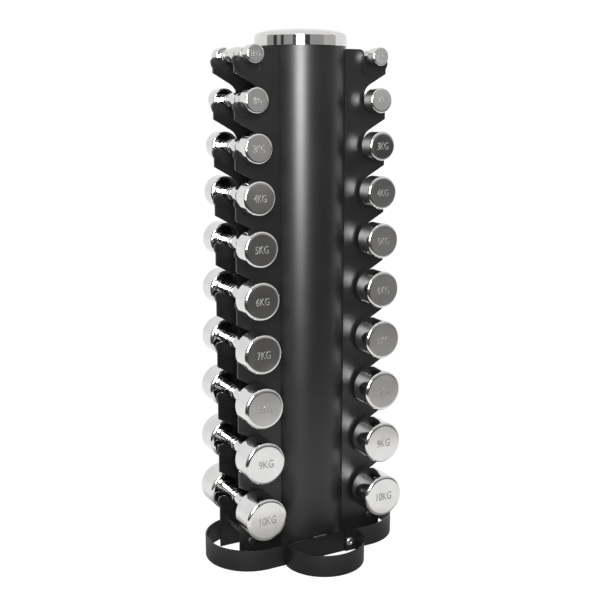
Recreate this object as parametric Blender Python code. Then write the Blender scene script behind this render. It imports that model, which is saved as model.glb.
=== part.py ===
"""Dumbbell tower: a steel column with four comb-shaped wing plates that carry ten pairs of
chrome dumbbells. Metres, Z up, the front looks along -Y, the floor is Z = 0."""
import math

import bmesh
import bpy
from mathutils import Vector

# ---- fits ----------------------------------------------------------------------------------
GAP = 0.0003                     # between pieces that touch
HEAD_PLAY = 0.0012               # dumbbell head to the face of a saddle
HOLE_PLAY = 0.0004               # bolt shank to its hole

# ---- column and cap ------------------------------------------------------------------------
COLUMN_RADIUS = 0.1035
COLUMN_WALL = 0.003
COLUMN_SIDES = 48
CAP_WALL = 0.003
CAP_SKIRT = 0.022
CAP_DOME = 0.018
CAP_OVERLAP = 0.016              # how far the tube reaches up into the cap
CAP_CURVE = 2.5                  # superellipse exponent of the dome
CAP_DOME_RINGS = 6
CAP_DROP = 0.004                 # wing tops to the cap's lower edge

# ---- wing plates ---------------------------------------------------------------------------
SHEET = 0.005
WING_FACE = 0.060                # outer faces of the plates from the middle plane
WING_REACH = 0.195               # outer edges of the arms from the column axis
WING_LIFT = 0.002                # lower edge above the floor
WING_RISE = 0.017                # top edge above the top handles
WING_CORNER = 0.012
CORNER_STEPS = 3
TIP_WIDTH = 0.017                # arm tip outside the notch
TIP_CHAMFER = 0.0045
MOUTH = 0.061                    # handle axis up to the corner of the arm above
ARM_SLOPE = math.radians(29.3)
ARM_FILLET = 0.030
FILLET_STEPS = 4

# ---- rows ----------------------------------------------------------------------------------
ROWS = 10
LOWEST_HANDLE = 0.137
HIGHEST_PITCH = 0.099            # between the two top rows
PITCH_STEP = 0.0045              # each pitch below it is this much larger

# ---- dumbbells, top row (1 kg) to bottom row (10 kg) ---------------------------------------
HEAD_RADII = (0.0206, 0.0283, 0.0335, 0.0386, 0.0413, 0.0439, 0.0462, 0.0484, 0.0502, 0.0510)
HEAD_LENGTHS = (0.030, 0.036, 0.043, 0.046, 0.053, 0.055, 0.059, 0.063, 0.066, 0.073)
HEAD_EDGE = 0.14                   # eased edge of an end as a share of its radius
HANDLE_SPARE = 0.010               # play of the long handles between the saddles
LEFT_SHIFT = 0.5                   # left dumbbells' rest to the rear, as a share of the play
RIGHT_SHIFT = 0.0                  # the right ones lie in the middle of it
HANDLE_RADIUS = 0.0135           # where it lies in the saddles
GRIP_RADIUS = 0.018              # barrel shape in the middle
GRIP_CLEAR = 0.0015                # ends of the swell inside the rear saddles
GRIP_SHOULDER = 0.33               # swell at a quarter of the grip as a share of the middle's
DUMBBELL_SIDES = 12

# ---- saddles (plastic liners of the notches) -----------------------------------------------
SEAT_RADIUS = HANDLE_RADIUS + GAP
LEG_WALL = 0.0082                # inner leg beside the handle
SEAT_WALL = 0.0062               # outer side beside the handle
SEAT_FLOOR = 0.0205              # under the handle
LEG_TOP = 0.002
LIP_REACH = 0.0145               # lip top outside the handle
LIP_DROP = 0.003                 # lip top below the handle axis
LIP_OVERHANG = 0.0038            # bead outside the plate edge
LIP_ROUND = 0.0035               # rounding of the bead below the tip's top
LIP_SKIRT = 0.0085               # bead below the tip's top
CHEEK_STEPS = (1.0, 1.7, 2.4, 3.1)  # fifths of the way down the cheek's outer edge
TIP_COVER = 0.006                # plastic over the arm tip
FLANGE = 0.007                   # overlap of the flanges on the plate
FLANGE_SHEET = 0.0015
NOTCH_CHAMFER = 0.012
SEAT_ARC = (180.0, 294.0)
SEAT_STEPS = 4
SPINE_WIDTH = 0.010              # web that joins the rear saddles into a strip

# ---- base ----------------------------------------------------------------------------------
BAND_HEIGHT = 0.052
BAND_SHEET = 0.004
LOBE_INSET = 0.053               # lobe centres inside the wing reach
LOBE_SIDES = 20
LOOP_RADIUS = 0.0985
LOOP_LEG = 0.010                 # straight legs before the bow begins
LOOP_FLANGE = 0.032
LOOP_SIDES = 20
BOLT_X = 0.078
BOLT_Z = 0.025
BOLT_RADIUS = 0.004
BOLT_HEAD_RADIUS = 0.0085
BOLT_HEAD_HEIGHT = 0.006
BOLT_CROWN = 0.6                 # radius of the head's flat crown as a share of the head
BOLT_SIDES = 12
TIE_INSET = 0.029                # tie rods inside the wing reach
TIE_Z = 0.061
TIE_SLEEVE_RADIUS = 0.009
HOLE_SIDES = 16

# ---- sizes that follow ---------------------------------------------------------------------
NOTCH_INNER = SEAT_RADIUS + LEG_WALL
NOTCH_OUTER = SEAT_RADIUS + SEAT_WALL
NOTCH_DEPTH = SEAT_RADIUS + SEAT_FLOOR
TIP_END = NOTCH_OUTER + TIP_WIDTH
HANDLE_X = WING_REACH - TIP_END
TIP_TOP = -(LIP_DROP + TIP_COVER)
PITCHES = [HIGHEST_PITCH + PITCH_STEP * row for row in range(ROWS - 1)]
HANDLE_Z = [LOWEST_HANDLE + sum(PITCHES[row:]) for row in range(ROWS)]
WING_TOP = HANDLE_Z[0] + WING_RISE
CAP_BOTTOM = WING_TOP + CAP_DROP
CAP_RADIUS = COLUMN_RADIUS + GAP + CAP_WALL
WING_INNER_FACE = WING_FACE - SHEET
FLANGE_FACE = WING_FACE + GAP + FLANGE_SHEET
HEAD_FACE = FLANGE_FACE + HEAD_PLAY
HANDLE_HALF = HEAD_FACE + HANDLE_SPARE / 2
GRIP_HALF = WING_INNER_FACE - GAP - FLANGE_SHEET - LEFT_SHIFT * HANDLE_SPARE - GRIP_CLEAR
BAND_INNER = COLUMN_RADIUS + GAP
BAND_OUTER = BAND_INNER + BAND_SHEET
LOBE_X = WING_REACH - LOBE_INSET
LOOP_FACE = BAND_OUTER + GAP
LOOP_CENTRE = LOOP_FACE + LOOP_LEG
TIE_X = WING_REACH - TIE_INSET

# ---- materials: colour, roughness, metallic ------------------------------------------------
BLACK_COAT = ("black_powder_coat", (0.030, 0.030, 0.032), 0.38, 0.0)
CHROME = ("chrome", (0.78, 0.78, 0.79), 0.10, 1.0)
BLACK_PLASTIC = ("black_plastic", (0.018, 0.018, 0.019), 0.45, 0.0)
ZINC = ("zinc_plated_steel", (0.70, 0.70, 0.70), 0.28, 1.0)


def clear_scene():
    for old in list(bpy.data.objects):
        bpy.data.objects.remove(old, do_unlink=True)


def make_material(spec):
    name, colour, roughness, metallic = spec
    found = bpy.data.materials.get(name)
    if found:
        return found
    material = bpy.data.materials.new(name)
    material.use_nodes = True
    shader = material.node_tree.nodes["Principled BSDF"]
    shader.inputs["Base Color"].default_value = (*colour, 1.0)
    shader.inputs["Roughness"].default_value = roughness
    shader.inputs["Metallic"].default_value = metallic
    material.diffuse_color = (*colour, 1.0)
    return material


def add_object(name, mesh, spec, smooth_angle=None):
    """Put a finished mesh into the scene as the node called name."""
    mesh.materials.clear()
    mesh.materials.append(make_material(spec))
    if smooth_angle is not None:
        mesh.shade_smooth()
        mesh.set_sharp_from_angle(angle=math.radians(smooth_angle))
    piece = bpy.data.objects.new(name, mesh)
    bpy.context.scene.collection.objects.link(piece)
    return piece


def finish(shape, name):
    """Turn a bmesh into a mesh whose faces look outwards."""
    bmesh.ops.recalc_face_normals(shape, faces=shape.faces[:])
    mesh = bpy.data.meshes.new(name)
    shape.to_mesh(mesh)
    shape.free()
    return mesh


def arc(centre, radius, start, end, steps):
    """Points on an arc from start to end, both in degrees and both included."""
    points = []
    for step in range(steps + 1):
        angle = math.radians(start + (end - start) * step / steps)
        points.append((centre[0] + radius * math.cos(angle), centre[1] + radius * math.sin(angle)))
    return points


def extrude_outline(name, outline, place, travel):
    """A prism: place turns an outline point into a Vector, travel is the extrusion."""
    shape = bmesh.new()
    face = shape.faces.new([shape.verts.new(place(point)) for point in outline])
    grown = bmesh.ops.extrude_face_region(shape, geom=[face])
    moved = [item for item in grown["geom"] if isinstance(item, bmesh.types.BMVert)]
    bmesh.ops.translate(shape, verts=moved, vec=travel)
    return finish(shape, name)


def turned(name, profile, sides, to_world):
    """A solid of revolution from (radius, height) points that start and end away from the axis.

    Both ends are closed with a flat disc. to_world turns (x, y, height) into a Vector."""
    shape = bmesh.new()
    rings = []
    for radius, height in profile:
        ring = []
        for side in range(sides):
            angle = math.tau * side / sides
            ring.append(shape.verts.new(to_world(radius * math.cos(angle), radius * math.sin(angle), height)))
        rings.append(ring)
    for low, high in zip(rings, rings[1:]):
        for side in range(sides):
            after = (side + 1) % sides
            shape.faces.new((low[side], low[after], high[after], high[side]))
    shape.faces.new(rings[0])
    shape.faces.new(rings[-1])
    return finish(shape, name)


def ring_wall(name, outer, inner, low, high):
    """A wall between two closed outlines of equally many points, from low to high."""
    shape = bmesh.new()
    loops = []
    for outline, level in ((outer, low), (outer, high), (inner, high), (inner, low)):
        loops.append([shape.verts.new((x, y, level)) for x, y in outline])
    count = len(outer)
    for first, second in zip(loops, loops[1:] + loops[:1]):
        for index in range(count):
            after = (index + 1) % count
            shape.faces.new((first[index], first[after], second[after], second[index]))
    return finish(shape, name)


def cut_hole(piece, x, z, radius, near, far):
    """Drill a hole along Y with a wire-drawn cutter that the build leaves out."""
    mesh = turned("drill", [(radius, near), (radius, far)], HOLE_SIDES,
                  lambda across, up, along: Vector((x + across, along, z + up)))
    cutter = bpy.data.objects.new(piece.name + "_drill", mesh)
    bpy.context.scene.collection.objects.link(cutter)
    cutter.hide_render = True
    cutter.display_type = "WIRE"
    cut = piece.modifiers.new("hole", "BOOLEAN")
    cut.operation = "DIFFERENCE"
    cut.object = cutter


# ---- column and cap ------------------------------------------------------------------------
def build_column():
    """Round tube that everything is welded to; it stands on the floor."""
    outer = arc((0, 0), COLUMN_RADIUS, 0, 360, COLUMN_SIDES)[:-1]
    inner = arc((0, 0), COLUMN_RADIUS - COLUMN_WALL, 0, 360, COLUMN_SIDES)[:-1]
    mesh = ring_wall("column_tube", outer, inner, 0.0, CAP_BOTTOM + CAP_OVERLAP)
    add_object("column_tube", mesh, BLACK_COAT, 40)


def build_cap():
    """Chromed lid: a skirt over the tube's end and a shallow dome."""
    dome = []
    for ring in range(CAP_DOME_RINGS + 1):
        share = math.sin(math.pi / 2 * (1 - ring / (CAP_DOME_RINGS + 1)))
        height = CAP_DOME * (1 - share ** CAP_CURVE) ** (1 / CAP_CURVE)
        dome.append((CAP_RADIUS * share, CAP_BOTTOM + CAP_SKIRT + height))
    inner = CAP_RADIUS - CAP_WALL
    profile = [(inner, CAP_BOTTOM + CAP_SKIRT - CAP_WALL), (inner, CAP_BOTTOM), (CAP_RADIUS, CAP_BOTTOM)]
    mesh = turned("cap", profile + dome, COLUMN_SIDES, lambda x, y, height: Vector((x, y, height)))
    add_object("cap", mesh, CHROME, 30)


# ---- wing plates ---------------------------------------------------------------------------
def notch_points(handle_z, play):
    """The notch under one handle, from the arm tip inwards, as (X, Z) points.

    play shrinks it, which gives the liner that fits inside."""
    outer = HANDLE_X + NOTCH_OUTER - play
    inner = HANDLE_X - NOTCH_INNER + play
    floor = handle_z - NOTCH_DEPTH + play
    corner = NOTCH_CHAMFER
    return [(outer, handle_z + TIP_TOP + play), (outer, floor + corner), (outer - corner, floor),
            (inner + corner, floor), (inner, floor + corner)]


def mouth_points(handle_z):
    """Inner corner above one handle and the underside of the arm above, inside to outside."""
    wall = HANDLE_X - NOTCH_INNER
    corner_z = handle_z + MOUTH
    run = WING_REACH - wall
    meet_z = corner_z - run * math.tan(ARM_SLOPE)
    turn = math.pi / 2 - ARM_SLOPE
    centre = (wall + ARM_FILLET, meet_z - ARM_FILLET * math.tan(turn / 2))
    points = arc(centre, ARM_FILLET, 180, 180 - math.degrees(turn), FILLET_STEPS)
    return points + [(WING_REACH, corner_z)]


def wing_outline():
    """Outline of one comb plate in X and Z, without the edge along the column."""
    outline = [(WING_REACH, WING_LIFT)]
    for row in reversed(range(ROWS)):
        handle_z = HANDLE_Z[row]
        tip_z = handle_z + TIP_TOP
        outline.append((WING_REACH, tip_z - TIP_CHAMFER))
        outline.append((WING_REACH - TIP_CHAMFER, tip_z))
        outline += notch_points(handle_z, 0.0)
        if row:
            outline += mouth_points(handle_z)
    corner = (HANDLE_X - NOTCH_INNER - WING_CORNER, WING_TOP - WING_CORNER)
    outline += arc(corner, WING_CORNER, 0, 90, CORNER_STEPS)
    return outline


def build_wings():
    """Four laser-cut plates, their inner edges bevelled to lie against the tube."""
    clear = COLUMN_RADIUS + GAP
    for depth_name, depth in (("front", -1), ("rear", 1)):
        for side_name, side in (("left", -1), ("right", 1)):
            shape = bmesh.new()
            rims = []
            for level in (WING_FACE, WING_INNER_FACE):
                root = math.sqrt(clear ** 2 - level ** 2)
                outline = wing_outline() + [(root, WING_TOP), (root, WING_LIFT)]
                rims.append([shape.verts.new((side * x, depth * level, z)) for x, z in outline])
            for index in range(len(rims[0])):
                after = (index + 1) % len(rims[0])
                shape.faces.new((rims[0][index], rims[0][after], rims[1][after], rims[1][index]))
            shape.faces.new(rims[0])
            shape.faces.new(rims[1])
            name = f"{depth_name}_{side_name}_wing"
            wing = add_object(name, finish(shape, name), BLACK_COAT)
            reach = (depth * (WING_INNER_FACE - SHEET), depth * (WING_FACE + SHEET))
            cut_hole(wing, side * TIE_X, TIE_Z, BOLT_RADIUS + HOLE_PLAY, *reach)


# ---- saddles -------------------------------------------------------------------------------
def saddle_outlines(handle_z):
    """Seat side, body edge in the notch, and flange edge of one saddle, as (X, Z) points."""
    centre = (HANDLE_X, handle_z)
    lip_x = HANDLE_X + SEAT_RADIUS + LIP_REACH
    lip_z = handle_z - LIP_DROP
    edge = WING_REACH + LIP_OVERHANG
    skirt_z = handle_z + TIP_TOP - LIP_SKIRT - TIP_CHAMFER
    seat = [(HANDLE_X - SEAT_RADIUS, handle_z + LEG_TOP)]
    seat += arc(centre, SEAT_RADIUS, SEAT_ARC[0], SEAT_ARC[1], SEAT_STEPS)
    seat += [(lip_x, lip_z), (WING_REACH - TIP_CHAMFER, lip_z - 2 * GAP)]
    seat += [(edge - LIP_ROUND / 2, handle_z + TIP_TOP), (edge, handle_z + TIP_TOP - LIP_ROUND)]
    seat += [(edge - TIP_CHAMFER / 4, skirt_z + TIP_CHAMFER / 2)]
    inside = WING_REACH + GAP
    tip_z = handle_z + TIP_TOP + GAP
    body = [(inside, skirt_z), (inside, tip_z - TIP_CHAMFER), (inside - TIP_CHAMFER, tip_z)]
    body += notch_points(handle_z, GAP)
    body += [(HANDLE_X - NOTCH_INNER + GAP, handle_z + LEG_TOP)]
    outer = HANDLE_X + NOTCH_OUTER
    inner = HANDLE_X - NOTCH_INNER - FLANGE
    floor = handle_z - NOTCH_DEPTH - FLANGE
    lean = (skirt_z - floor) / 5
    edge_x = (inside, inside - TIP_CHAMFER, inside - 2 * TIP_CHAMFER, outer + FLANGE)
    flange = [(x, skirt_z - step * lean) for x, step in zip(edge_x, CHEEK_STEPS)]
    flange += [(outer + FLANGE / 2, floor + FLANGE)]
    flange += [(outer - FLANGE, floor), (inner + NOTCH_CHAMFER, floor), (inner, floor + NOTCH_CHAMFER)]
    flange += [(inner, handle_z + LEG_TOP)]
    return seat, body, flange


def add_saddle(shape, handle_z, side, depth, joined):
    """Add one saddle. Returns its web edge (low and high vertices on two levels) if joined."""
    seat, body, flange = saddle_outlines(handle_z)
    levels = (FLANGE_FACE, WING_FACE + GAP, WING_INNER_FACE - GAP, WING_INNER_FACE - GAP - FLANGE_SHEET)

    def lay(points, level):
        return [shape.verts.new((side * x, depth * level, z)) for x, z in points]

    def wall(first, second, skip=None):
        for index in range(len(first)):
            after = (index + 1) % len(first)
            if index != skip:
                shape.faces.new((first[index], first[after], second[after], second[index]))

    def shelf(seat_ring, body_ring, flange_ring):
        shape.faces.new((seat_ring[-1], flange_ring[0], body_ring[0]))
        shape.faces.new((body_ring[-1], flange_ring[-1], seat_ring[0]))
        for index in range(len(body_ring) - 1):
            shape.faces.new((body_ring[index], flange_ring[index], flange_ring[index + 1],
                             body_ring[index + 1]))

    seats = [lay(seat, level) for level in levels]
    bodies = [lay(body, level) for level in levels[1:3]]
    flanges = [lay(flange, level) for level in levels]
    web = len(seat) + len(flange) - 2
    shape.faces.new(seats[0] + flanges[0])
    wall(seats[0] + flanges[0], seats[1] + flanges[1])
    shelf(seats[1], bodies[0], flanges[1])
    wall(seats[1] + bodies[0], seats[2] + bodies[1])
    shelf(seats[2], bodies[1], flanges[2])
    wall(seats[2] + flanges[2], seats[3] + flanges[3], skip=web if joined else None)
    shape.faces.new(seats[3] + flanges[3])
    return [(ring[-2], ring[-1]) for ring in flanges[2:]]


def build_front_saddles():
    """One clip-on plastic saddle for each front notch."""
    for side_name, side in (("left", -1), ("right", 1)):
        for row in range(ROWS):
            shape = bmesh.new()
            add_saddle(shape, HANDLE_Z[row], side, -1, joined=False)
            name = f"front_{side_name}_saddle_{row + 1:02d}"
            add_object(name, finish(shape, name), BLACK_PLASTIC)


def build_rear_strips():
    """The ten saddles of each rear wing, joined by a thin web on the plate's inner face."""
    spine_x = HANDLE_X - NOTCH_INNER - FLANGE - SPINE_WIDTH
    for side_name, side in (("left", -1), ("right", 1)):
        shape = bmesh.new()
        edges = [add_saddle(shape, HANDLE_Z[row], side, 1, joined=True) for row in range(ROWS)]
        spine = []
        for level, rank in ((WING_INNER_FACE - GAP, 0), (WING_INNER_FACE - GAP - FLANGE_SHEET, 1)):
            low_z = edges[-1][rank][0].co.z
            high_z = edges[0][rank][1].co.z
            spine.append((shape.verts.new((side * spine_x, level, low_z)),
                          shape.verts.new((side * spine_x, level, high_z))))
            chain = [vert for row in reversed(range(ROWS)) for vert in edges[row][rank]]
            shape.faces.new(chain + [spine[rank][1], spine[rank][0]])
        (low_a, high_a), (low_b, high_b) = spine
        shape.faces.new((low_a, high_a, high_b, low_b))
        shape.faces.new((edges[-1][0][0], low_a, low_b, edges[-1][1][0]))
        shape.faces.new((high_a, edges[0][0][1], edges[0][1][1], high_b))
        for above, below in zip(edges, edges[1:]):
            shape.faces.new((below[0][1], above[0][0], above[1][0], below[1][1]))
        name = f"rear_{side_name}_saddle_strip"
        add_object(name, finish(shape, name), BLACK_PLASTIC)


# ---- dumbbells -----------------------------------------------------------------------------
def dumbbell_profile(row):
    """(radius, place along the handle) from one end face to the middle of the grip."""
    radius = HEAD_RADII[row]
    ease = HEAD_EDGE * radius
    end = HANDLE_HALF + HEAD_LENGTHS[row]
    shoulder = GRIP_RADIUS - GRIP_SHOULDER * (GRIP_RADIUS - HANDLE_RADIUS)
    return [(radius - ease, end), (radius - ease / 4, end - ease / 4), (radius, end - ease),
            (radius, HANDLE_HALF), (HANDLE_RADIUS, HANDLE_HALF), (HANDLE_RADIUS, GRIP_HALF),
            (shoulder, GRIP_HALF / 2)]


def build_dumbbells():
    """Ten pairs, one heavier in each lower row, each turned about its own handle axis.

    Their handles are longer than the saddles are apart. The left ones lie pushed to the
    rear, with their front ends against the front saddles."""
    for side_name, side, shift in (("left", -1, LEFT_SHIFT), ("right", 1, RIGHT_SHIFT)):
        for row in range(ROWS):
            half = dumbbell_profile(row)
            mirrored = [(radius, -along) for radius, along in reversed(half)]
            profile = half + [(GRIP_RADIUS, 0.0)] + mirrored
            name = f"dumbbell_{side_name}_{row + 1:02d}kg"
            mesh = turned(name, profile, DUMBBELL_SIDES, lambda x, z, along: Vector((x, along, z)))
            dumbbell = add_object(name, mesh, CHROME, 35)
            dumbbell.location = (side * HANDLE_X, shift * HANDLE_SPARE, HANDLE_Z[row])


# ---- base ----------------------------------------------------------------------------------
def stadium(radius):
    """Closed outline of two half circles about the lobe centres."""
    right = arc((LOBE_X, 0), radius, -90, 90, LOBE_SIDES)
    left = arc((-LOBE_X, 0), radius, 90, 270, LOBE_SIDES)
    return right + left


def build_band():
    """Steel band on edge around the foot of the tower, welded to the tube front and rear."""
    mesh = ring_wall("base_band", stadium(BAND_OUTER), stadium(BAND_INNER), 0.0, BAND_HEIGHT)
    band = add_object("base_band", mesh, BLACK_COAT)
    for x in (-BOLT_X, BOLT_X):
        for face in (-1, 1):
            reach = (face * (BAND_INNER - BAND_SHEET), face * (BAND_OUTER + BAND_SHEET))
            cut_hole(band, x, BOLT_Z, BOLT_RADIUS + HOLE_PLAY, *reach)


def build_loops():
    """Bowed foot bands front and rear, their ends turned in and bolted to the base band."""
    inner_radius = LOOP_RADIUS - BAND_SHEET
    flange_end = LOOP_RADIUS - LOOP_FLANGE
    for depth_name, depth in (("front", -1), ("rear", 1)):
        bow = arc((0, 0), LOOP_RADIUS, 0, 180, LOOP_SIDES)
        hollow = arc((0, 0), inner_radius, 180, 0, LOOP_SIDES)
        outline = [(LOOP_RADIUS, -LOOP_LEG)] + bow + [(-LOOP_RADIUS, -LOOP_LEG)]
        outline += [(-flange_end, -LOOP_LEG), (-flange_end, BAND_SHEET - LOOP_LEG)]
        outline += [(-inner_radius, BAND_SHEET - LOOP_LEG)] + hollow
        outline += [(inner_radius, BAND_SHEET - LOOP_LEG)]
        outline += [(flange_end, BAND_SHEET - LOOP_LEG), (flange_end, -LOOP_LEG)]
        mesh = extrude_outline(f"{depth_name}_foot_loop", outline,
                               lambda point: Vector((point[0], depth * (LOOP_CENTRE + point[1]), 0.0)),
                               Vector((0, 0, BAND_HEIGHT)))
        loop = add_object(f"{depth_name}_foot_loop", mesh, BLACK_COAT)
        for side_name, side in (("left", -1), ("right", 1)):
            reach = (depth * (LOOP_FACE - BAND_SHEET), depth * (LOOP_FACE + 2 * BAND_SHEET))
            cut_hole(loop, side * BOLT_X, BOLT_Z, BOLT_RADIUS + HOLE_PLAY, *reach)
            add_bolt(f"{depth_name}_{side_name}_foot_bolt", side * BOLT_X, BOLT_Z, depth,
                     LOOP_FACE + BAND_SHEET + GAP, BAND_INNER)


def bolt_head(seat, direction):
    """(radius, Y) points of a low domed head that rises from seat along direction."""
    crown = seat + direction * BOLT_HEAD_HEIGHT
    shoulder = seat + direction * BOLT_HEAD_HEIGHT / 2
    return [(BOLT_HEAD_RADIUS * BOLT_CROWN, crown), (BOLT_HEAD_RADIUS, shoulder), (BOLT_HEAD_RADIUS, seat)]


def add_bolt(name, x, z, depth, seat, end):
    """Domed bolt from its head seat to its end, both measured outwards from the middle plane."""
    profile = bolt_head(depth * seat, depth) + [(BOLT_RADIUS, depth * seat), (BOLT_RADIUS, depth * end)]
    mesh = turned(name, profile, BOLT_SIDES, lambda across, up, along: Vector((across, along, up)))
    add_object(name, mesh, ZINC, 35).location = (x, 0.0, z)


def build_ties():
    """Low down, a rod with two domed heads and a sleeve tie each pair of wings together."""
    seat = WING_FACE + GAP
    for side_name, side in (("left", -1), ("right", 1)):
        profile = bolt_head(seat, 1) + [(BOLT_RADIUS, seat), (BOLT_RADIUS, -seat)]
        profile += list(reversed(bolt_head(-seat, -1)))
        name = f"{side_name}_tie_rod"
        mesh = turned(name, profile, BOLT_SIDES, lambda across, up, along: Vector((across, along, up)))
        add_object(name, mesh, ZINC, 35).location = (side * TIE_X, 0.0, TIE_Z)
        half = WING_INNER_FACE - GAP
        bore = arc((0, 0), BOLT_RADIUS + HOLE_PLAY, 0, 360, HOLE_SIDES)[:-1]
        skin = arc((0, 0), TIE_SLEEVE_RADIUS, 0, 360, HOLE_SIDES)[:-1]
        mesh = ring_wall(f"{side_name}_tie_sleeve", skin, bore, -half, half)
        sleeve = add_object(f"{side_name}_tie_sleeve", mesh, BLACK_COAT, 40)
        sleeve.location = (side * TIE_X, 0.0, TIE_Z)
        sleeve.rotation_euler = (math.pi / 2, 0.0, 0.0)


clear_scene()
build_column()
build_cap()
build_wings()
build_front_saddles()
build_rear_strips()
build_dumbbells()
build_band()
build_loops()
build_ties()
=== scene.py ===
import math

import bpy
from mathutils import Matrix, Vector


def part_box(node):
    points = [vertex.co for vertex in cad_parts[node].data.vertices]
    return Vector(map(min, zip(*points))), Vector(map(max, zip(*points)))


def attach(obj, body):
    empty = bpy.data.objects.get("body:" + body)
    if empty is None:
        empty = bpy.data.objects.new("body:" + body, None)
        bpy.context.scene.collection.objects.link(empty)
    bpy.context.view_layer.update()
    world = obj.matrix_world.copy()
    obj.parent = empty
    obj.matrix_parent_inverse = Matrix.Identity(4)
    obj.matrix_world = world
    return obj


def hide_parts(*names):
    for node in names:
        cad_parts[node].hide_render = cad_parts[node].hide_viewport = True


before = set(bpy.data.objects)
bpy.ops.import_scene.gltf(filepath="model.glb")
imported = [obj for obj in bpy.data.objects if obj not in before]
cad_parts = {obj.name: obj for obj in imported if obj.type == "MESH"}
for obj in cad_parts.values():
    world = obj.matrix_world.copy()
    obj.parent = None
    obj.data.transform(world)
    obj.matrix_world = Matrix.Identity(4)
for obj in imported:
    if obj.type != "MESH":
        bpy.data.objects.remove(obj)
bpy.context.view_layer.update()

# ---- camera --------------------------------------------------------------------------------
# A standing person's eye, two paces off to the left front of the rack, looking slightly down.
# The lens is a short telephoto, so the tall column keeps its upright lines.
EYE = (-1.1052, -2.0491, 1.0856)
LENS = 59.06
LOOK_DOWN = 11.32
LOOK_RIGHT = 28.32
camera_data = bpy.data.cameras.new("camera")
camera_data.sensor_width = 36.0
camera_data.lens = LENS
camera_data.clip_end = 60.0
camera = bpy.data.objects.new("camera", camera_data)
camera.location = EYE
camera.rotation_euler = (math.radians(90.0 - LOOK_DOWN), 0.0, math.radians(-LOOK_RIGHT))
bpy.context.scene.collection.objects.link(camera)
bpy.context.scene.camera = camera

# ---- studio --------------------------------------------------------------------------------
# A white floor in a white room, with one tall soft light behind the camera. Towards the front
# the room is dimmer: a grey wall, dark stands beside the light and a floor that darkens away
# from the rack. Those cards show in reflections only, as chrome needs something to mirror.
ROOM_GLOW = 1.04
FLOOR_GLOW = 0.97
ROOM_RADIUS = 3.4
ROOM_HEIGHT = 3.4
SHEET_RADIUS = 0.95                # the floor is white up to here
SHADE_RADIUS = 0.45                # the rack's own shade on the floor
CARD_LIFT = 0.002                  # floor cards above the floor
LOOK_ANGLE = -28.3                 # angles in degrees, right of straight in front
ROOM_LEFT = LOOK_ANGLE - 88.0
ROOM_RIGHT = LOOK_ANGLE + 95.0
WALL_TURN = 29.7                   # where the front wall meets the right one
SHEET_TURN = 8.0
STAND_DISTANCE = 3.0
LIGHT_DISTANCE = 3.1
LIGHT_MIDDLE = 1.56
LIGHT_WIDTH = 0.95
LIGHT_HEIGHT = 1.88
LIGHT_POWER = 184.0

bpy.context.scene.view_settings.view_transform = "Standard"
world = bpy.data.worlds.new("white_room")
world.use_nodes = True
world.node_tree.nodes["Background"].inputs["Color"].default_value = (1.0, 1.0, 1.0, 1.0)
world.node_tree.nodes["Background"].inputs["Strength"].default_value = ROOM_GLOW
bpy.context.scene.world = world


def floor_point(angle, radius, height):
    """A point at an angle, in degrees, right of straight in front of the rack."""
    turn = math.radians(angle)
    return Vector((radius * math.sin(turn), -radius * math.cos(turn), height))


def dim_card(name, start, end, near, far, stops):
    """A card about the rack's axis from one angle to another, for reflections only.

    near and far are (radius, height) pairs, and stops the (share, colour) pairs of its glow on
    the way from near to far. It neither shows to the camera nor shades anything."""
    bpy.ops.object.select_all(action="DESELECT")
    columns = max(2, round((end - start) / 4))
    bpy.ops.mesh.primitive_grid_add(x_subdivisions=columns, y_subdivisions=1)
    card = bpy.context.object
    card.name = name
    for vertex in card.data.vertices:
        across, along = (vertex.co.x + 1) / 2, (vertex.co.y + 1) / 2
        vertex.co = floor_point(start + (end - start) * across,
                                near[0] + (far[0] - near[0]) * along,
                                near[1] + (far[1] - near[1]) * along)
    glow = bpy.data.materials.new(name)
    glow.use_nodes = True
    tree = glow.node_tree
    tree.nodes.clear()
    place = tree.nodes.new("ShaderNodeTexCoord")
    split = tree.nodes.new("ShaderNodeSeparateXYZ")
    ramp = tree.nodes.new("ShaderNodeValToRGB")
    while len(ramp.color_ramp.elements) < len(stops):
        ramp.color_ramp.elements.new(0.5)
    for element, (share, colour) in zip(ramp.color_ramp.elements, stops):
        element.position = share
        element.color = (*colour, 1.0)
    light = tree.nodes.new("ShaderNodeEmission")
    out = tree.nodes.new("ShaderNodeOutputMaterial")
    tree.links.new(place.outputs["UV"], split.inputs["Vector"])
    tree.links.new(split.outputs["Y"], ramp.inputs["Fac"])
    tree.links.new(ramp.outputs["Color"], light.inputs["Color"])
    tree.links.new(light.outputs["Emission"], out.inputs["Surface"])
    card.data.materials.append(glow)
    card.visible_camera = False
    card.visible_shadow = False


def grey(tone):
    """A slightly warm grey of one brightness."""
    return (tone * 1.02, tone, tone * 0.975)


bpy.ops.object.select_all(action="DESELECT")
bpy.ops.mesh.primitive_plane_add(size=30.0)
floor = bpy.context.object
floor.name = "studio_floor"
white_paper = bpy.data.materials.new("white_paper")
white_paper.use_nodes = True
paper = white_paper.node_tree.nodes["Principled BSDF"]
paper.inputs["Base Color"].default_value = (0.10, 0.10, 0.10, 1.0)
paper.inputs["Roughness"].default_value = 0.9
paper.inputs["Specular IOR Level"].default_value = 0.1
paper.inputs["Emission Color"].default_value = (1.0, 1.0, 1.0, 1.0)
paper.inputs["Emission Strength"].default_value = FLOOR_GLOW
floor.data.materials.append(white_paper)

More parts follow.
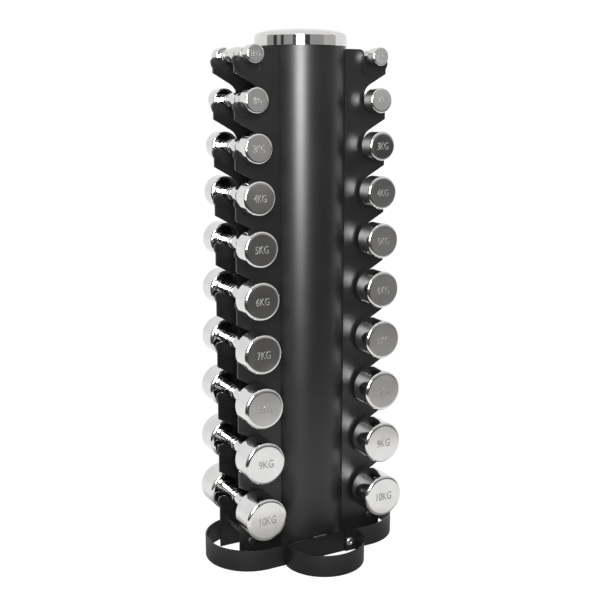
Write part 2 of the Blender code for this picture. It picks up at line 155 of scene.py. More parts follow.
wall_foot, wall_top = (ROOM_RADIUS, 0.0), (ROOM_RADIUS, ROOM_HEIGHT)
sheet_near, sheet_far = (SHEET_RADIUS, CARD_LIFT), (ROOM_RADIUS, CARD_LIFT)
dim_card("front_wall_card", ROOM_LEFT, WALL_TURN, wall_foot, wall_top,
         [(0.0, grey(0.10)), (0.12, grey(0.11)), (0.17, grey(0.20)), (0.235, grey(0.38)),
          (0.4, grey(0.40)), (1.0, grey(0.48))])
dim_card("right_wall_card", WALL_TURN, ROOM_RIGHT, wall_foot, wall_top,
         [(0.0, grey(0.25)), (0.12, grey(0.22)), (0.145, grey(0.17)), (0.20, grey(0.14)),
          (0.215, grey(0.06)), (0.28, grey(0.08)), (0.30, grey(0.50)), (0.35, grey(0.58)),
          (1.0, grey(0.62))])
dim_card("left_floor_card", ROOM_LEFT, SHEET_TURN, sheet_near, sheet_far,
         [(0.0, grey(0.90)), (0.05, grey(0.25)), (0.12, grey(0.06)), (1.0, grey(0.06))])
dim_card("shaded_floor_card", -180.0, 180.0, (0.0, CARD_LIFT / 2), (SHADE_RADIUS, CARD_LIFT / 2),
         [(0.0, grey(0.28)), (0.60, grey(0.33)), (0.85, grey(0.80)), (1.0, grey(1.0))])
dim_card("front_floor_card", SHEET_TURN, WALL_TURN, sheet_near, sheet_far,
         [(0.0, grey(1.0)), (0.08, grey(0.64)), (0.245, grey(0.41)), (0.36, grey(0.12)),
          (1.0, grey(0.10))])
dim_card("right_floor_card", WALL_TURN, ROOM_RIGHT, sheet_near, sheet_far,
         [(0.0, grey(1.0)), (0.08, grey(0.64)), (0.245, grey(0.45)), (0.5, grey(0.36)),
          (0.9, grey(0.22)), (1.0, grey(0.22))])
# Each stand's left and right side, from the line of sight, and its foot and top.
STANDS = ((-68.0, -58.0, 1.2, 1.8), (-48.0, -40.0, 1.2, 1.8), (-17.5, -9.0, 1.1, 2.6),
          (9.0, 23.0, 1.1, 2.6))
for stand, (start, end, low, high) in enumerate(STANDS, start=1):
    dim_card(f"dark_stand_{stand}", LOOK_ANGLE + start, LOOK_ANGLE + end,
             (STAND_DISTANCE, low), (STAND_DISTANCE, high), [(0.0, grey(0.05)), (1.0, grey(0.07))])

softbox = bpy.data.lights.new("tall_softbox", "AREA")
softbox.shape = "RECTANGLE"
softbox.size = LIGHT_WIDTH
softbox.size_y = LIGHT_HEIGHT
softbox.energy = LIGHT_POWER
light = bpy.data.objects.new("tall_softbox", softbox)
light.location = floor_point(LOOK_ANGLE, LIGHT_DISTANCE, LIGHT_MIDDLE)
aim = Vector((0.0, 0.0, LIGHT_MIDDLE)) - light.location
light.rotation_euler = aim.to_track_quat("-Z", "Y").to_euler()
light.visible_camera = False
bpy.context.scene.collection.objects.link(light)

# ---- column --------------------------------------------------------------------------------
# The tower is one round steel tube, 207 mm across with a 3 mm wall, cut square at both ends.
# It is powder coated black: a satin skin with a fine orange peel and no brushing.
COLUMN_RADIUS = 0.1035
COLUMN_WALL = 0.003
COLUMN_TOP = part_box("column_tube")[1].z
COLUMN_SIDES = 144
COAT_COLOURS = ((0.0035, 0.0035, 0.0036), (0.0048, 0.0048, 0.0049))
COAT_GLOSS = (0.345, 0.375)


def surface(name, colours, roughness, metallic, patch, grain, height):
    """Finish with cloudy patches of tone and gloss and a fine grain.

    colours and roughness are (low, high) pairs, patch and grain the feature sizes in metres,
    and height how far the grain stands up."""
    finish = bpy.data.materials.new(name)
    finish.use_nodes = True
    tree = finish.node_tree
    shader = tree.nodes["Principled BSDF"]
    shader.inputs["Metallic"].default_value = metallic
    place = tree.nodes.new("ShaderNodeTexCoord")
    clouds = tree.nodes.new("ShaderNodeTexNoise")
    clouds.inputs["Scale"].default_value = 1.0 / patch
    clouds.inputs["Detail"].default_value = 4.0
    tree.links.new(place.outputs["Object"], clouds.inputs["Vector"])
    tones = tree.nodes.new("ShaderNodeValToRGB")
    tones.color_ramp.elements[0].position = 0.35
    tones.color_ramp.elements[1].position = 0.65
    for element, colour in zip(tones.color_ramp.elements, colours):
        element.color = (*colour, 1.0)
    tree.links.new(clouds.outputs["Fac"], tones.inputs["Fac"])
    tree.links.new(tones.outputs["Color"], shader.inputs["Base Color"])
    skin = tree.nodes.new("ShaderNodeTexNoise")
    skin.inputs["Scale"].default_value = 1.0 / grain
    skin.inputs["Detail"].default_value = 3.0
    tree.links.new(place.outputs["Object"], skin.inputs["Vector"])
    gloss = tree.nodes.new("ShaderNodeMapRange")
    gloss.inputs["From Min"].default_value = 0.3
    gloss.inputs["From Max"].default_value = 0.7
    gloss.inputs["To Min"].default_value = roughness[0]
    gloss.inputs["To Max"].default_value = roughness[1]
    tree.links.new(clouds.outputs["Fac"], gloss.inputs["Value"])
    tree.links.new(gloss.outputs["Result"], shader.inputs["Roughness"])
    relief = tree.nodes.new("ShaderNodeBump")
    relief.inputs["Strength"].default_value = 1.0
    relief.inputs["Distance"].default_value = height
    tree.links.new(skin.outputs["Fac"], relief.inputs["Height"])
    tree.links.new(relief.outputs["Normal"], shader.inputs["Normal"])
    return finish


def bent_strip(name, line, closed, low, high, wall, edge):
    """Steel of one thickness standing on edge: line is its outer face in X and Y."""
    bpy.ops.object.select_all(action="DESELECT")
    bpy.ops.mesh.primitive_circle_add(vertices=len(line))
    strip = bpy.context.object
    strip.name = name
    for vertex, (x, y) in zip(strip.data.vertices, line):
        vertex.co = (x, y, low)
    bpy.ops.object.mode_set(mode="EDIT")
    if not closed:
        open_chain(strip)
    bpy.ops.mesh.select_all(action="SELECT")
    bpy.ops.mesh.extrude_region_move(TRANSFORM_OT_translate={"value": (0.0, 0.0, high - low)})
    bpy.ops.mesh.select_all(action="SELECT")
    bpy.ops.mesh.normals_make_consistent(inside=False)
    bpy.ops.object.mode_set(mode="OBJECT")
    thick = strip.modifiers.new("thickness", "SOLIDIFY")
    thick.thickness = wall
    thick.offset = -1.0
    thick.use_even_offset = True
    bpy.ops.object.modifier_apply(modifier=thick.name)
    soften(strip, edge, 2)
    return strip


def open_chain(piece):
    """Cut the edge between a ring's last and first points. The ring is being edited."""
    bpy.ops.mesh.select_mode(type="EDGE")
    bpy.ops.mesh.select_all(action="DESELECT")
    bpy.ops.object.mode_set(mode="OBJECT")
    ends = {0, len(piece.data.vertices) - 1}
    for edge in piece.data.edges:
        edge.select = set(edge.vertices) == ends
    bpy.ops.object.mode_set(mode="EDIT")
    bpy.ops.mesh.delete(type="EDGE")
    bpy.ops.mesh.select_mode(type="VERT")


def shade(piece, sharp=35.0):
    """Shade curves smoothly and leave the flat faces flat."""
    bpy.ops.object.select_all(action="DESELECT")
    piece.select_set(True)
    bpy.context.view_layer.objects.active = piece
    bpy.ops.object.shade_smooth_by_angle(angle=math.radians(sharp))
    level = piece.modifiers.new("level_faces", "WEIGHTED_NORMAL")
    level.weight = 80
    level.keep_sharp = True
    bpy.ops.object.modifier_apply(modifier=level.name)


def soften(piece, width, segments, sharp=35.0):
    """Round the piece's sharp edges a little and shade it."""
    rounded = piece.modifiers.new("rounded_edges", "BEVEL")
    rounded.width = width
    rounded.segments = segments
    rounded.limit_method = "ANGLE"
    rounded.angle_limit = math.radians(sharp)
    bpy.context.view_layer.objects.active = piece
    bpy.ops.object.modifier_apply(modifier=rounded.name)
    shade(piece, sharp)


def settle(piece, finish, body, slot, *replaced):
    """Give a finished piece its material and its body, and hide the CAD nodes it stands for."""
    if not piece.data.materials:
        piece.data.materials.append(finish)
    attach(piece, body)
    if replaced:
        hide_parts(*replaced)


def round_line(centre, radius, start, end, steps):
    """Points on an arc between two angles in degrees, both ends included."""
    line = []
    for step in range(steps + 1):
        angle = math.radians(start + (end - start) * step / steps)
        line.append((centre[0] + radius * math.cos(angle), centre[1] + radius * math.sin(angle)))
    return line


powder_coat = surface("black_powder_coat", COAT_COLOURS, COAT_GLOSS, metallic=0.0, patch=0.09,
                      grain=0.0011, height=0.00002)
tube_line = round_line((0.0, 0.0), COLUMN_RADIUS, 0.0, 360.0, COLUMN_SIDES)[:-1]
column = bent_strip("powder_coated_column", tube_line, closed=True, low=0.0, high=COLUMN_TOP,
                    wall=COLUMN_WALL, edge=0.0004)
settle(column, powder_coat, "rack", "black_coat", "column_tube")

# ---- column cap ----------------------------------------------------------------------------
# A pressed steel lid, chrome plated, is pushed over the tube's end. Its wall stands upright,
# then breaks at a crisp edge into a shallow dome with a flat middle.
CAP_LOW, CAP_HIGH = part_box("cap")
CAP_RADIUS = 0.1068
CAP_WALL = 0.003
CAP_DOME = 0.018
CAP_CURVE = 2.5                    # 2 is an ellipse, more is flatter in the middle
CAP_STEPS = 24
CAP_EDGE = 0.0012


def turned(name, profile, sides, closed=False):
    """Lathe work about the upright axis from (radius, height) points."""
    bpy.ops.object.select_all(action="DESELECT")
    bpy.ops.mesh.primitive_circle_add(vertices=len(profile))
    piece = bpy.context.object
    piece.name = name
    for vertex, (radius, height) in zip(piece.data.vertices, profile):
        vertex.co = (radius, 0.0, height)
    bpy.ops.object.mode_set(mode="EDIT")
    if not closed:
        open_chain(piece)
    bpy.ops.mesh.select_all(action="SELECT")
    bpy.ops.mesh.spin(steps=sides, angle=math.tau, center=(0.0, 0.0, 0.0), axis=(0.0, 0.0, 1.0))
    bpy.ops.mesh.select_all(action="SELECT")
    bpy.ops.mesh.remove_doubles(threshold=0.000005)
    bpy.ops.mesh.normals_make_consistent(inside=False)
    bpy.ops.object.mode_set(mode="OBJECT")
    return piece


shoulder = CAP_HIGH.z - CAP_DOME
cap_profile = [(0.0, shoulder - CAP_WALL), (CAP_RADIUS - CAP_WALL, shoulder - CAP_WALL),
               (CAP_RADIUS - CAP_WALL, CAP_LOW.z), (CAP_RADIUS, CAP_LOW.z),
               (CAP_RADIUS, shoulder - CAP_EDGE / 2),
               (CAP_RADIUS - CAP_EDGE / 3, shoulder + CAP_EDGE / 3)]
for step in range(1, CAP_STEPS + 1):
    share = math.cos(math.pi / 2 * step / CAP_STEPS)
    rise = CAP_DOME * (1 - share ** CAP_CURVE) ** (1 / CAP_CURVE)
    if share * CAP_RADIUS < CAP_RADIUS - CAP_EDGE:
        cap_profile.append((share * CAP_RADIUS, shoulder + rise))
cap_profile[-1] = (0.0, CAP_HIGH.z)
chrome = surface("polished_chrome", ((0.61, 0.605, 0.60), (0.67, 0.665, 0.66)), (0.035, 0.065),
                 metallic=1.0, patch=0.05, grain=0.0016, height=0.0000035)
cap = turned("chrome_cap", cap_profile, sides=144)
soften(cap, width=0.0004, segments=2)
settle(cap, chrome, "rack", "chrome", "cap")

# ---- wing plates ---------------------------------------------------------------------------
# Four laser-cut 5 mm plates stand out from the tube, two to a side, each with ten notched arms.
# Their cut edges are eased before coating. A narrow weld fillet runs down the inner face of each
# plate where it meets the tube, under the same black coat.
CUT_EDGE = 0.0007
FILLET = 0.0030
FILLET_SHORT = 0.002               # the weld stops short of the plate's top and foot
SEAM_GAP = 0.0003


def copied_from_cad(name, node):
    """A new piece with a CAD node's shape, its loose triangles joined into plain faces."""
    piece = bpy.data.objects.new(name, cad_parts[node].data.copy())
    bpy.context.scene.collection.objects.link(piece)
    bpy.ops.object.select_all(action="DESELECT")
    piece.select_set(True)
    bpy.context.view_layer.objects.active = piece
    bpy.ops.object.mode_set(mode="EDIT")
    bpy.ops.mesh.select_all(action="SELECT")
    bpy.ops.mesh.remove_doubles(threshold=0.00001)
    bpy.ops.mesh.dissolve_limited(angle_limit=math.radians(0.5))
    bpy.ops.object.mode_set(mode="OBJECT")
    piece.data.materials.clear()
    return piece


wing_low, wing_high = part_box("front_left_wing")
WING_FACE = -wing_low.y
WING_BACK = -wing_high.y
for depth_name, depth in (("front", -1), ("rear", 1)):
    for side_name, side in (("left", -1), ("right", 1)):
        node = f"{depth_name}_{side_name}_wing"
        wing = copied_from_cad(f"{node}_plate", node)
        soften(wing, width=CUT_EDGE, segments=2)
        settle(wing, powder_coat, "rack", "black_coat", node)
        far = WING_BACK - FILLET
        root = math.sqrt(COLUMN_RADIUS ** 2 - WING_BACK ** 2)
        grip = math.sqrt(COLUMN_RADIUS ** 2 - far ** 2)
        section = [(root - 0.001, WING_BACK + 0.0004), (root + FILLET, WING_BACK + 0.0002),
                   (root + FILLET, WING_BACK - 0.0003),
                   (root + 0.42 * FILLET, WING_BACK - 0.33 * FILLET),
                   (grip + 0.0006, far), (grip - 0.0006, far)]
        bpy.ops.object.select_all(action="DESELECT")
        bpy.ops.mesh.primitive_circle_add(vertices=len(section), fill_type="NGON")
        weld = bpy.context.object
        weld.name = f"{depth_name}_{side_name}_inner_weld"
        for vertex, (x, y) in zip(weld.data.vertices, section):
            vertex.co = (side * x, depth * y, wing_low.z + FILLET_SHORT)
        run = wing_high.z - wing_low.z - 2 * FILLET_SHORT
        bpy.ops.object.mode_set(mode="EDIT")
        bpy.ops.mesh.select_all(action="SELECT")
        bpy.ops.mesh.extrude_region_move(TRANSFORM_OT_translate={"value": (0.0, 0.0, run)})
        bpy.ops.mesh.select_all(action="SELECT")
        bpy.ops.mesh.normals_make_consistent(inside=False)
        bpy.ops.object.mode_set(mode="OBJECT")
        soften(weld, width=0.0003, segments=1)
        settle(weld, powder_coat, "rack", "black_coat")

# ---- saddles -------------------------------------------------------------------------------
# Each notch is lined with a clip-on cradle of black moulded plastic that the handle lies in.
# Its cheeks lap over both faces of the plate, with a raised rim round a sunken panel, and a
# rounded lip caps the arm's tip. One is moulded for all forty places.
saddle_low, saddle_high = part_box("front_left_saddle_01")
seat_low, seat_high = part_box("dumbbell_left_01kg")
HANDLE_X = -(seat_low.x + seat_high.x) / 2
ROW_HEIGHTS = []
for row in range(1, 11):
    low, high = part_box(f"dumbbell_left_{row:02d}kg")
    ROW_HEIGHTS.append((low.z + high.z) / 2)
SEAT_RADIUS = 0.0138
LEG_WALL = 0.0082
SEAT_WALL = 0.0062
CHEEK_LAP = 0.007
NOTCH_DEPTH = 0.0343
NOTCH_CORNER = 0.012
ARM_REACH = 0.195
LIP_OUT = 0.0038
LIP_ROUND = 0.0035
TIP_DROP = 0.009
TIP_CORNER = 0.0045
RIM_WIDTH = 0.0046
PANEL_DEPTH = 0.0007
PANEL_SLOPE = 0.0006
CHEEK_BITE = 0.0007                # the body runs this far into each cheek
CHEEK_FACE = -saddle_low.y
CHEEK_BACK = -saddle_high.y

tip_x = ARM_REACH - HANDLE_X
edge_x = tip_x + LIP_OUT
skirt_z = -TIP_DROP - TIP_CORNER - 0.0085
seat_line = [(-SEAT_RADIUS - 0.0012, 0.0020), (-SEAT_RADIUS, 0.0008)]
seat_line += round_line((0.0, 0.0), SEAT_RADIUS, 180.0, 294.0, 18)[1:]
seat_line += [(0.0105, -0.0112), (0.0178, -0.0070), (0.0230, -0.0040),
              (SEAT_RADIUS + 0.0145, -0.0031), (tip_x - TIP_CORNER, -0.0036),
              (tip_x - 0.0012, -0.0048), (edge_x - 0.0030, -0.0066), (edge_x - 0.0014, -TIP_DROP),
              (edge_x - 0.0003, -TIP_DROP - 0.0018), (edge_x, -TIP_DROP - LIP_ROUND),
              (edge_x - 0.0002, -TIP_DROP - 0.0062), (edge_x - 0.0011, skirt_z + 0.0022)]
floor_z = -NOTCH_DEPTH - CHEEK_LAP
leg_x = -SEAT_RADIUS - LEG_WALL
inner_x = leg_x - CHEEK_LAP
outer_x = SEAT_RADIUS + SEAT_WALL
cheek_line = [(tip_x, skirt_z - 0.0036), (tip_x - 0.0052, skirt_z - 0.0071),
              (outer_x + CHEEK_LAP, -0.0330), (outer_x + 0.0030, floor_z + 0.0042),
              (outer_x - CHEEK_LAP, floor_z)]
cheek_line += round_line((inner_x + NOTCH_CORNER, floor_z + NOTCH_CORNER), NOTCH_CORNER,
                         270.0, 180.0, 8)
cheek_line += [(inner_x, 0.0004), (inner_x + 0.0016, 0.0020)]
notch_z = SEAM_GAP - NOTCH_DEPTH
body_line = [(tip_x + SEAM_GAP, skirt_z + 0.0010),
             (tip_x + SEAM_GAP, SEAM_GAP - TIP_DROP - TIP_CORNER),
             (tip_x + SEAM_GAP - TIP_CORNER, SEAM_GAP - TIP_DROP),
             (outer_x - SEAM_GAP, SEAM_GAP - TIP_DROP),
             (outer_x - SEAM_GAP, notch_z + NOTCH_CORNER),
             (outer_x - NOTCH_CORNER, notch_z), (leg_x + NOTCH_CORNER, notch_z),
             (leg_x + SEAM_GAP, notch_z + NOTCH_CORNER), (leg_x + SEAM_GAP, 0.0020)]


def cut_out(name, line, near, far):
    """A slab whose outline is (X, Z) points, between two depths."""
    bpy.ops.object.select_all(action="DESELECT")
    bpy.ops.mesh.primitive_circle_add(vertices=len(line), fill_type="NGON")
    slab = bpy.context.object
    slab.name = name
    for vertex, (x, z) in zip(slab.data.vertices, line):
        vertex.co = (x, near, z)
    bpy.ops.object.mode_set(mode="EDIT")
    bpy.ops.mesh.select_all(action="SELECT")
    bpy.ops.mesh.extrude_region_move(TRANSFORM_OT_translate={"value": (0.0, far - near, 0.0)})
    bpy.ops.mesh.select_all(action="SELECT")
    bpy.ops.mesh.normals_make_consistent(inside=False)
    bpy.ops.object.mode_set(mode="OBJECT")
    return slab


def sink_panel(slab, depth, rim, sink):
    """Inset the slab's face at one depth and press the middle in."""
    bpy.ops.object.select_all(action="DESELECT")
    slab.select_set(True)
    bpy.context.view_layer.objects.active = slab
    bpy.ops.object.mode_set(mode="EDIT")
    bpy.ops.mesh.select_mode(type="FACE")
    bpy.ops.mesh.select_all(action="DESELECT")
    bpy.ops.object.mode_set(mode="OBJECT")
    for face in slab.data.polygons:
        face.select = abs(face.normal.y) > 0.9 and abs(face.center.y - depth) < 0.00001
    bpy.ops.object.mode_set(mode="EDIT")
    bpy.ops.mesh.inset(thickness=rim, depth=0.0, use_even_offset=True)
    bpy.ops.mesh.inset(thickness=PANEL_SLOPE, depth=-sink, use_even_offset=True)
    bpy.ops.mesh.select_mode(type="VERT")
    bpy.ops.object.mode_set(mode="OBJECT")


cradle = cut_out("cradle_pattern", seat_line + body_line, -WING_FACE - CHEEK_BITE,
                 -WING_BACK + CHEEK_BITE)
for near, far in ((-CHEEK_FACE, -WING_FACE - SEAM_GAP), (-CHEEK_BACK, -WING_BACK + SEAM_GAP)):
    cheek = cut_out("cheek_pattern", seat_line + cheek_line, near, far)
    sink_panel(cheek, near, RIM_WIDTH, PANEL_DEPTH)
    bpy.context.view_layer.objects.active = cradle
    lapped = cradle.modifiers.new("cheek", "BOOLEAN")
    lapped.operation = "UNION"
    lapped.solver = "EXACT"
    lapped.object = cheek
    bpy.ops.object.modifier_apply(modifier=lapped.name)
    bpy.data.objects.remove(cheek)
soften(cradle, width=0.0005, segments=2, sharp=40.0)
moulded_plastic = surface("moulded_black_plastic",
                          ((0.0035, 0.0035, 0.0037), (0.0050, 0.0050, 0.0052)), (0.40, 0.48),
                          metallic=0.0, patch=0.03, grain=0.0004, height=0.00002)
plastic_shader = moulded_plastic.node_tree.nodes["Principled BSDF"]
plastic_shader.inputs["Specular IOR Level"].default_value = 0.35
for depth_name, depth in (("front", -1), ("rear", 1)):
    for side_name, side in (("left", -1), ("right", 1)):
        for row, height in enumerate(ROW_HEIGHTS, start=1):
            mesh = cradle.data.copy()
            mesh.transform(Matrix.Translation((side * HANDLE_X, 0.0, height))
                           @ Matrix.Diagonal((side, -depth, 1.0, 1.0)))
            if side * -depth < 0:
                mesh.flip_normals()
            saddle = bpy.data.objects.new(f"{depth_name}_{side_name}_cradle_{row:02d}", mesh)
            bpy.context.scene.collection.objects.link(saddle)
            shade(saddle, sharp=40.0)
            stands_for = []
            if depth < 0:
                stands_for = [f"front_{side_name}_saddle_{row:02d}"]
            elif row == 1:
                stands_for = [f"rear_{side_name}_saddle_strip"]
            settle(saddle, moulded_plastic, "rack", "black_plastic", *stands_for)
bpy.data.objects.remove(cradle)

# ---- dumbbells -----------------------------------------------------------------------------
# Ten pairs of one-piece steel dumbbells, 1 to 10 kg, turned, polished and chrome plated. Each
# end is a plain flat face with a well rounded edge, and its weight stands on it in raised
# figures. The grip swells in the middle and has ring grooves.
HANDLE_HALF = 0.0680
EASE_ACROSS = 0.170                # the heads' rounded edges, as shares of their radius
EASE_ALONG = 0.125
NECK_RADIUS = 0.0135
NECK_FILLET = 0.0011
GRIP_RADIUS = 0.018
GRIP_STEP = 0.0006                 # the grip's ends stand above the neck
GRIP_HALF = 0.0467
GRIP_CURVE = 1.6
GROOVE_STEP = 0.0208
GROOVE_DEPTH = 0.0012
# Across a groove: the way along the handle and the share of its depth.
GROOVE_LINE = ((0.0060, -0.1), (0.0026, 0.1), (0.0015, 0.5), (0.0005, 1.0), (-0.0005, 1.0),
               (-0.0015, 0.5), (-0.0026, 0.1), (-0.0060, -0.1), (-GROOVE_STEP / 2, -0.2))
FIGURE_HEIGHT = 0.0006
FIGURE_ROUND = 0.006               # the strokes' rounding and standing, in the type's own units
FIGURE_STAND = 0.03
FIGURE_SIZES = ((0.020, 0.012), (0.020, 0.0155), (0.029, 0.017), (0.031, 0.017), (0.033, 0.017),
                (0.033, 0.017), (0.033, 0.018), (0.034, 0.018), (0.037, 0.019), (0.042, 0.020))


def grip_radius(along):
    """Barrel shape of the grip."""
    share = min(1.0, abs(along) / GRIP_HALF)
    low = NECK_RADIUS + GRIP_STEP
    return low + (GRIP_RADIUS - low) * (1 - share ** GRIP_CURVE)


def half_dumbbell(radius, end):
    """(radius, place along the handle) from the middle of one end face to the grip's middle."""
    face = end - FIGURE_HEIGHT
    across = EASE_ACROSS * radius
    along = EASE_ALONG * radius
    line = [(0.0, face), (radius - across - 0.0012, face)]
    eased = round_line((0.0, 0.0), 1.0, 90.0, 0.0, 12)
    line += [(radius - across + across * x, face - along + along * y) for x, y in eased]
    line += [(radius - across + across * x, HANDLE_HALF + along - along * y)
             for x, y in reversed(eased)]
    line += [(NECK_RADIUS + NECK_FILLET, HANDLE_HALF),
             (NECK_RADIUS + 0.3 * NECK_FILLET, HANDLE_HALF - 0.3 * NECK_FILLET),
             (NECK_RADIUS, HANDLE_HALF - NECK_FILLET),
             (NECK_RADIUS, GRIP_HALF + 0.0010), (NECK_RADIUS + 0.0004, GRIP_HALF + 0.0002)]
    for groove in (2 * GROOVE_STEP, GROOVE_STEP):
        for offset, sink in GROOVE_LINE:
            place = groove + offset
            line.append((grip_radius(place) - sink * GROOVE_DEPTH, place))
    line.append((grip_radius(0.0) + 0.2 * GROOVE_DEPTH, 0.0042))
    return line


def raised_figures(text, width, tall, place):
    """Round-edged figures of one size standing on an end face."""
    bpy.ops.object.select_all(action="DESELECT")
    bpy.ops.object.text_add()
    figures = bpy.context.object
    figures.data.body = text
    figures.data.extrude = FIGURE_STAND
    figures.data.bevel_depth = FIGURE_ROUND
    figures.data.offset = -FIGURE_ROUND
    figures.data.resolution_u = 3
    bpy.ops.object.convert(target="MESH")
    figures = bpy.context.object
    bpy.ops.object.mode_set(mode="EDIT")
    bpy.ops.mesh.select_all(action="SELECT")
    bpy.ops.mesh.remove_doubles(threshold=0.0002)
    bpy.ops.mesh.normals_make_consistent(inside=False)
    bpy.ops.object.mode_set(mode="OBJECT")
    points = [vertex.co for vertex in figures.data.vertices]
    low = Vector([min(point[axis] for point in points) for axis in range(3)])
    high = Vector([max(point[axis] for point in points) for axis in range(3)])
    spread = high - low
    fit = (width / spread.x, tall / spread.y, 2 * FIGURE_HEIGHT / spread.z, 1.0)
    figures.data.transform(Matrix.Translation(-(low + high) / 2))
    figures.data.transform(Matrix.Diagonal(fit))
    figures.data.transform(place)
    return figures


dumbbell_chrome = surface("dumbbell_chrome", ((0.62, 0.614, 0.608), (0.67, 0.665, 0.66)),
                          (0.08, 0.12), metallic=1.0, patch=0.035, grain=0.0022,
                          height=0.0000035)
figure_steel = surface("figures_left_dull", ((0.26, 0.257, 0.254), (0.31, 0.307, 0.304)),
                       (0.56, 0.64), metallic=1.0, patch=0.004, grain=0.0005, height=0.00002)
for row, height in enumerate(ROW_HEIGHTS, start=1):
    low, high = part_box(f"dumbbell_left_{row:02d}kg")
    radius = (high.z - low.z) / 2
    end = (high.y - low.y) / 2
    half = half_dumbbell(radius, end)
    profile = half + [(across, -along) for across, along in reversed(half)]
    pattern = turned("dumbbell_pattern", profile, sides=96)
    pattern.data.transform(Matrix.Rotation(math.radians(90.0), 4, "X"))
    parts = [pattern]
    for turn in (0.0, 180.0):
        place = (Matrix.Rotation(math.radians(turn), 4, "Z")
                 @ Matrix.Translation((0.0, FIGURE_HEIGHT - end, 0.0))
                 @ Matrix.Rotation(math.radians(90.0), 4, "X"))
        parts.append(raised_figures(f"{row}KG", *FIGURE_SIZES[row - 1], place))
    for part in parts:
        part.data.materials.append(dumbbell_chrome)
        part.data.materials.append(figure_steel)
    for figures in parts[1:]:
        for polygon in figures.data.polygons:
            polygon.material_index = 1
    bpy.ops.object.select_all(action="DESELECT")
    for part in parts:
        part.select_set(True)
    bpy.context.view_layer.objects.active = pattern
    bpy.ops.object.join()
    shade(pattern, sharp=28.0)
    for side_name, side in (("left", -1), ("right", 1)):
        node = f"dumbbell_{side_name}_{row:02d}kg"
        low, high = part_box(node)
        mesh = pattern.data.copy()
        mesh.transform(Matrix.Translation((side * HANDLE_X, (low.y + high.y) / 2, height)))
        dumbbell = bpy.data.objects.new(f"{side_name}_{row:02d}kg_chrome_dumbbell", mesh)
        bpy.context.scene.collection.objects.link(dumbbell)
        settle(dumbbell, dumbbell_chrome, node, "chrome", node)
    bpy.data.objects.remove(pattern)

# ---- base band -----------------------------------------------------------------------------
# A 52 mm strip of 4 mm steel on edge, rolled into a long loop round the foot of the tower and
# welded to the tube where it touches it, front and rear. Coated with the rest.
BAND_HEIGHT = 0.052
STRIP = 0.004
STRIP_EDGE = 0.0006
band_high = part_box("base_band")[1]
BAND_RADIUS = band_high.y
LOBE_X = band_high.x - BAND_RADIUS
loop_line = round_line((LOBE_X, 0.0), BAND_RADIUS, -90.0, 90.0, 72)
loop_line += round_line((-LOBE_X, 0.0), BAND_RADIUS, 90.0, 270.0, 72)
band = bent_strip("coated_base_band", loop_line, closed=True, low=0.0, high=BAND_HEIGHT,
                  wall=STRIP, edge=STRIP_EDGE)
settle(band, powder_coat, "rack", "black_coat", "base_band")

WELD_RADIUS = 0.0036
WELD_HALF = 0.020
WELD_STEP = 0.0036                 # one ripple of the bead
WELD_RISE = 0.0004
WELD_RIPPLE = 0.18
for face_name, face in (("front", -1), ("rear", 1)):
    axis_y = face * (BAND_RADIUS - STRIP - WELD_RISE)
    bpy.ops.object.select_all(action="DESELECT")
    bpy.ops.mesh.primitive_cylinder_add(vertices=12, radius=WELD_RADIUS, depth=2 * WELD_HALF,
                                        end_fill_type="TRIFAN", rotation=(0.0, math.pi / 2, 0.0),
                                        location=(0.0, axis_y, BAND_HEIGHT + WELD_RISE))
    bead = bpy.context.object
    bead.name = f"{face_name}_band_weld"
    bpy.ops.object.transform_apply(location=True, rotation=True, scale=True)
    bpy.ops.object.mode_set(mode="EDIT")
    bpy.ops.mesh.select_all(action="SELECT")
    cut = -WELD_HALF + WELD_STEP / 2
    while cut < WELD_HALF:
        bpy.ops.mesh.bisect(plane_co=(cut, 0.0, 0.0), plane_no=(1.0, 0.0, 0.0))
        bpy.ops.mesh.select_all(action="SELECT")
        cut += WELD_STEP / 2
    bpy.ops.object.mode_set(mode="OBJECT")
    for vertex in bead.data.vertices:
        swell = 1 - WELD_RIPPLE + WELD_RIPPLE * math.cos(math.tau * vertex.co.x / WELD_STEP)
        taper = min(1.0, math.sqrt(max(0.05, 1 - abs(vertex.co.x) / WELD_HALF)) * 2.2)
        vertex.co.y = axis_y + (vertex.co.y - axis_y) * swell * taper
        vertex.co.z = BAND_HEIGHT + (vertex.co.z - BAND_HEIGHT) * swell * taper
    soften(bead, width=0.0001, segments=1, sharp=60.0)
    settle(bead, powder_coat, "rack", "black_coat")

# ---- foot loops ----------------------------------------------------------------------------
# Front and rear, a bowed strip of the same steel widens the stance. Its ends are bent in
# flat against the base band and bolted to it.
foot_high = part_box("front_foot_loop")[1]
FOOT_RADIUS = foot_high.x
FOOT_NEAR = -foot_high.y
FOOT_LEG = 0.010
FLANGE_END = 0.0665
BEND = 0.0055
bow = [(FLANGE_END, FOOT_NEAR)]
bow += round_line((FOOT_RADIUS - BEND, FOOT_NEAR + BEND), BEND, -90.0, 0.0, 6)
bow += round_line((0.0, FOOT_NEAR + FOOT_LEG), FOOT_RADIUS, 0.0, 180.0, 80)
bow += round_line((BEND - FOOT_RADIUS, FOOT_NEAR + BEND), BEND, 180.0, 270.0, 6)
bow += [(-FLANGE_END, FOOT_NEAR)]
for depth_name, depth in (("front", -1), ("rear", 1)):
    foot = bent_strip(f"coated_{depth_name}_foot_loop", [(x, depth * y) for x, y in bow],
                      closed=False, low=0.0, high=BAND_HEIGHT, wall=STRIP, edge=STRIP_EDGE)
    settle(foot, powder_coat, "rack", "black_coat", f"{depth_name}_foot_loop")

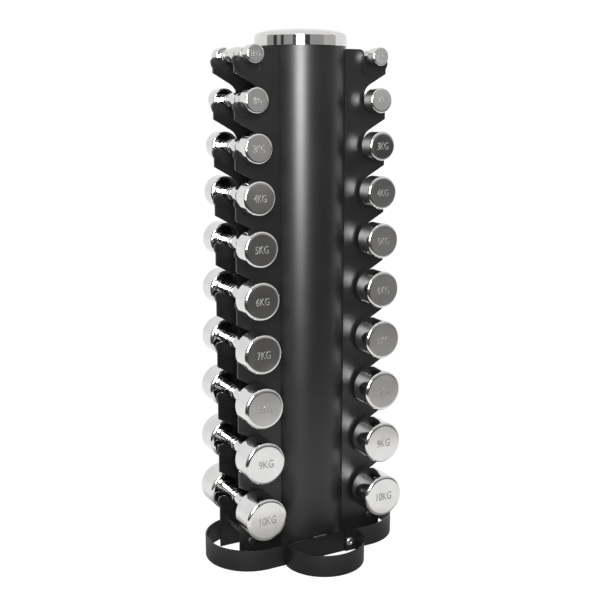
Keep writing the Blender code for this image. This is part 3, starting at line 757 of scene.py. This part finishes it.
# ---- bolts and tie rods --------------------------------------------------------------------
# Button-head bolts with a hexagon socket. Four zinc-plated ones hold the foot loops, and two
# long blackened rods, headed at both ends and sleeved between, tie the wing plates low down.
HEAD_RADIUS = 0.0104
HEAD_HEIGHT = 0.006
HEAD_RIM = 0.0016                  # upright edge below the head's dome
HEAD_EASE = 0.0004
HEAD_STEPS = 8
SHANK = 0.004
SHANK_END = 0.0006
SHANK_PLAY = 0.0004
SOCKET = 0.0049
bolt_zinc = surface("zinc_plate", ((0.40, 0.40, 0.39), (0.55, 0.55, 0.54)), (0.24, 0.36),
                    metallic=1.0, patch=0.008, grain=0.0006, height=0.00001)
black_oxide = surface("black_oxide", ((0.005, 0.005, 0.0054), (0.008, 0.008, 0.0084)),
                      (0.42, 0.54), metallic=0.0, patch=0.008, grain=0.0006, height=0.00001)


def button_head(seat):
    """(radius, height) points of a head that rises from its seat, from the crown down."""
    line = [(0.0, seat + HEAD_HEIGHT)]
    dome = HEAD_HEIGHT - HEAD_RIM
    for step in range(1, HEAD_STEPS + 1):
        angle = math.radians(90.0 - 90.0 * step / HEAD_STEPS)
        line.append((HEAD_RADIUS * math.cos(angle), seat + HEAD_RIM + dome * math.sin(angle)))
    line += [(HEAD_RADIUS, seat + HEAD_EASE), (HEAD_RADIUS - HEAD_EASE, seat)]
    return line


def drill_socket(piece, top):
    """Sink a hexagon socket into the head whose crown is at a height."""
    bpy.ops.object.select_all(action="DESELECT")
    bpy.ops.mesh.primitive_cylinder_add(vertices=6, radius=SOCKET, depth=HEAD_HEIGHT,
                                        location=(0.0, 0.0, top))
    key = bpy.context.object
    bpy.ops.object.transform_apply(location=True, rotation=True, scale=True)
    bpy.context.view_layer.objects.active = piece
    sunk = piece.modifiers.new("socket", "BOOLEAN")
    sunk.operation = "DIFFERENCE"
    sunk.solver = "EXACT"
    sunk.object = key
    bpy.ops.object.modifier_apply(modifier=sunk.name)
    bpy.data.objects.remove(key)


for depth_name, depth in (("front", -1), ("rear", 1)):
    for side_name in ("left", "right"):
        node = f"{depth_name}_{side_name}_foot_bolt"
        low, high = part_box(node)
        middle = (low + high) / 2
        seat = max(abs(low.y), abs(high.y)) - HEAD_HEIGHT
        tail = min(abs(low.y), abs(high.y))
        shank = [(SHANK, seat), (SHANK, tail + SHANK_END), (SHANK - SHANK_END, tail), (0.0, tail)]
        bolt = turned(f"zinc_{node}", button_head(seat) + shank, sides=32)
        drill_socket(bolt, seat + HEAD_HEIGHT)
        stand = Matrix.Rotation(math.radians(-90.0 * depth), 4, "X")
        bolt.data.transform(Matrix.Translation((middle.x, 0.0, middle.z)) @ stand)
        soften(bolt, width=0.00015, segments=1)
        settle(bolt, bolt_zinc, "rack", "bolt_steel", node)

lie_back = Matrix.Rotation(math.radians(-90.0), 4, "X")
for side_name in ("left", "right"):
    node = f"{side_name}_tie_rod"
    low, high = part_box(node)
    middle = (low + high) / 2
    seat = high.y - HEAD_HEIGHT
    half = button_head(seat) + [(SHANK, seat)]
    profile = half + [(radius, -height) for radius, height in reversed(half)]
    rod = turned(f"blackened_{node}", profile, sides=32)
    drill_socket(rod, seat + HEAD_HEIGHT)
    drill_socket(rod, -seat - HEAD_HEIGHT)
    rod.data.transform(Matrix.Translation((middle.x, 0.0, middle.z)) @ lie_back)
    soften(rod, width=0.00015, segments=1)
    settle(rod, black_oxide, "rack", "bolt_steel", node)
    node = f"{side_name}_tie_sleeve"
    low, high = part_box(node)
    middle = (low + high) / 2
    outer = (high.x - low.x) / 2
    reach = high.y
    bore = SHANK + SHANK_PLAY
    section = [(bore, -reach), (bore, reach), (outer, reach), (outer, -reach)]
    sleeve = turned(f"blackened_{node}", section, sides=48, closed=True)
    sleeve.data.transform(Matrix.Translation((middle.x, 0.0, middle.z)) @ lie_back)
    soften(sleeve, width=0.0005, segments=2)
    settle(sleeve, black_oxide, "rack", "black_coat", node)
